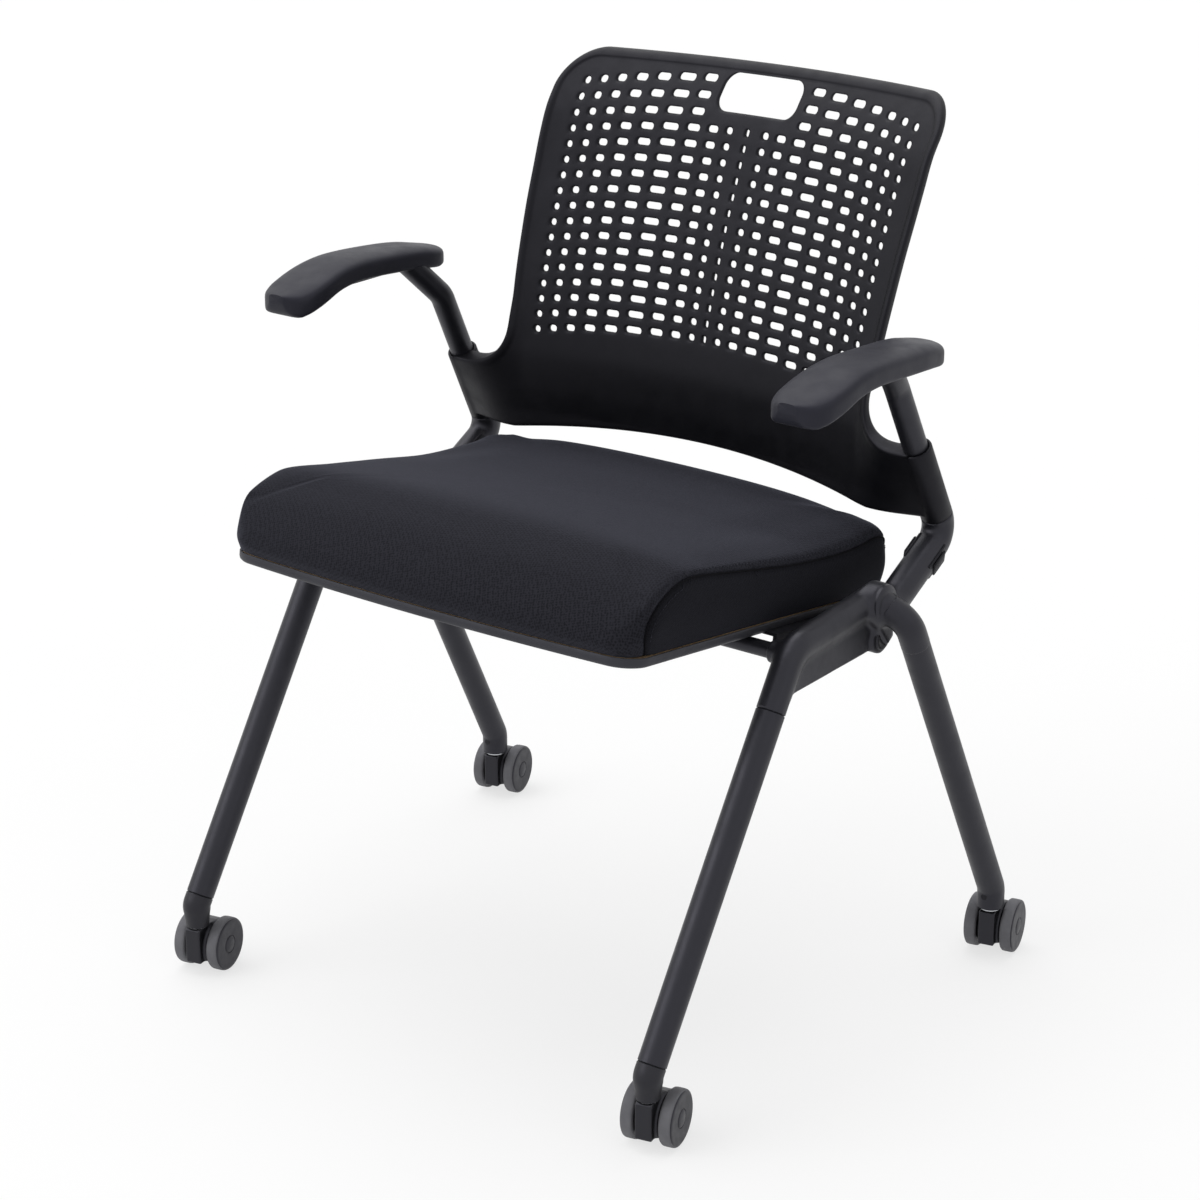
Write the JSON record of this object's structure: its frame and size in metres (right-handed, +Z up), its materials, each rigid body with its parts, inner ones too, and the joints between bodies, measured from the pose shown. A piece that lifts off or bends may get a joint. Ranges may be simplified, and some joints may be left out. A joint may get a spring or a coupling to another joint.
{
  "type": "nesting chair",
  "caption": "Nesting chair with a perforated plastic back, fixed arms, an upholstered seat that flips up on the rear cross tube, a bent steel tube frame and twin-wheel casters.",
  "frame": {"origin": "on the floor, under the middle of the chair", "axes": "+Z up, +X to the sitter's left, the chair faces -Y"},
  "size_m": [0.6517, 0.5517, 0.7905],
  "materials": {
    "powder_coat": "satin black powder coat",
    "shell_plastic": "near-black moulded plastic with a fine spark-eroded grain",
    "pad_plastic": "charcoal moulded plastic with a fine grain, satin",
    "seat_fabric": "black woven upholstery fabric with piped seams",
    "plywood": "raw moulded plywood",
    "pan_plastic": "dark grey moulded plastic",
    "fitting_plastic": "black moulded plastic",
    "soft_rubber": "black rubber",
    "caster_tread": "mid grey soft tread",
    "caster_disc": "dark grey moulded plastic",
    "caster_housing": "black moulded plastic",
    "zinc_steel": "zinc-plated steel"
  },
  "bodies": {
    "frame": {"side_bracket_left": "powder_coat", "side_bracket_right": "powder_coat", "front_leg_left": "powder_coat", "front_leg_right": "powder_coat", "rear_leg_left": "powder_coat", "rear_leg_right": "powder_coat", "leg_adapter_left": "fitting_plastic", "leg_adapter_right": "fitting_plastic", "rear_leg_sockets": "fitting_plastic", "rear_leg_plugs": "soft_rubber", "front_cross_tube": "powder_coat", "rear_cross_tube": "powder_coat", "cross_tube_caps": "fitting_plastic", "upright_left": "powder_coat", "upright_right": "powder_coat", "upright_bumpers": "soft_rubber", "back_shell": "shell_plastic", "back_screws": "zinc_steel", "arm_plate_left": "powder_coat", "arm_plate_right": "powder_coat", "arm_pad_left": "pad_plastic", "arm_pad_right": "pad_plastic", "arm_pad_screws": "zinc_steel", "caster_stems": "zinc_steel"},
    "seat": {"seat_cushion": "seat_fabric", "seat_board": "plywood", "seat_pan": "pan_plastic", "seat_arm_left": "powder_coat", "seat_arm_right": "powder_coat", "seat_bushes": "fitting_plastic", "seat_arm_screws": "zinc_steel", "seat_board_screws": "zinc_steel", "seat_buffers": "soft_rubber"},
    "caster_front_left": {"caster_housing_front_left": "caster_housing", "caster_axle_front_left": "zinc_steel"},
    "wheel_front_left_outer": {"wheel_front_left_outer": "caster_disc", "tyre_front_left_outer": "caster_tread"},
    "wheel_front_left_inner": {"wheel_front_left_inner": "caster_disc", "tyre_front_left_inner": "caster_tread"},
    "caster_front_right": {"caster_housing_front_right": "caster_housing", "caster_axle_front_right": "zinc_steel"},
    "wheel_front_right_outer": {"wheel_front_right_outer": "caster_disc", "tyre_front_right_outer": "caster_tread"},
    "wheel_front_right_inner": {"wheel_front_right_inner": "caster_disc", "tyre_front_right_inner": "caster_tread"},
    "caster_rear_left": {"caster_housing_rear_left": "caster_housing", "caster_axle_rear_left": "zinc_steel"},
    "wheel_rear_left_outer": {"wheel_rear_left_outer": "caster_disc", "tyre_rear_left_outer": "caster_tread"},
    "wheel_rear_left_inner": {"wheel_rear_left_inner": "caster_disc", "tyre_rear_left_inner": "caster_tread"},
    "caster_rear_right": {"caster_housing_rear_right": "caster_housing", "caster_axle_rear_right": "zinc_steel"},
    "wheel_rear_right_outer": {"wheel_rear_right_outer": "caster_disc", "tyre_rear_right_outer": "caster_tread"},
    "wheel_rear_right_inner": {"wheel_rear_right_inner": "caster_disc", "tyre_rear_right_inner": "caster_tread"}
  },
  "joints": [
    {"name": "seat_flip", "type": "hinge", "parent": "frame", "child": "seat", "pos_m": [0, 0.061, 0.356], "axis": [-1, 0, 0], "range_deg": [0, 73]},
    {"name": "swivel_front_left", "type": "hinge", "parent": "frame", "child": "caster_front_left", "pos_m": [0.2585, -0.261, 0.04], "axis": [0, 0, 1], "continuous": true},
    {"name": "roll_front_left_outer", "type": "hinge", "parent": "caster_front_left", "child": "wheel_front_left_outer", "pos_m": [0.25456, -0.24395, 0.025], "axis": [0.9744, 0.225, 0], "continuous": true},
    {"name": "roll_front_left_inner", "type": "hinge", "parent": "caster_front_left", "child": "wheel_front_left_inner", "pos_m": [0.25456, -0.24395, 0.025], "axis": [0.9744, 0.225, 0], "continuous": true},
    {"name": "swivel_front_right", "type": "hinge", "parent": "frame", "child": "caster_front_right", "pos_m": [-0.2585, -0.261, 0.04], "axis": [0, 0, 1], "continuous": true},
    {"name": "roll_front_right_outer", "type": "hinge", "parent": "caster_front_right", "child": "wheel_front_right_outer", "pos_m": [-0.26244, -0.24395, 0.025], "axis": [0.9744, 0.225, 0], "continuous": true},
    {"name": "roll_front_right_inner", "type": "hinge", "parent": "caster_front_right", "child": "wheel_front_right_inner", "pos_m": [-0.26244, -0.24395, 0.025], "axis": [0.9744, 0.225, 0], "continuous": true},
    {"name": "swivel_rear_left", "type": "hinge", "parent": "frame", "child": "caster_rear_left", "pos_m": [0.2984, 0.216, 0.04], "axis": [0, 0, 1], "continuous": true},
    {"name": "roll_rear_left_outer", "type": "hinge", "parent": "caster_rear_left", "child": "wheel_rear_left_outer", "pos_m": [0.29446, 0.23305, 0.025], "axis": [0.9744, 0.225, 0], "continuous": true},
    {"name": "roll_rear_left_inner", "type": "hinge", "parent": "caster_rear_left", "child": "wheel_rear_left_inner", "pos_m": [0.29446, 0.23305, 0.025], "axis": [0.9744, 0.225, 0], "continuous": true},
    {"name": "swivel_rear_right", "type": "hinge", "parent": "frame", "child": "caster_rear_right", "pos_m": [-0.2984, 0.216, 0.04], "axis": [0, 0, 1], "continuous": true},
    {"name": "roll_rear_right_outer", "type": "hinge", "parent": "caster_rear_right", "child": "wheel_rear_right_outer", "pos_m": [-0.30234, 0.23305, 0.025], "axis": [0.9744, 0.225, 0], "continuous": true},
    {"name": "roll_rear_right_inner", "type": "hinge", "parent": "caster_rear_right", "child": "wheel_rear_right_inner", "pos_m": [-0.30234, 0.23305, 0.025], "axis": [0.9744, 0.225, 0], "continuous": true}
  ]
}
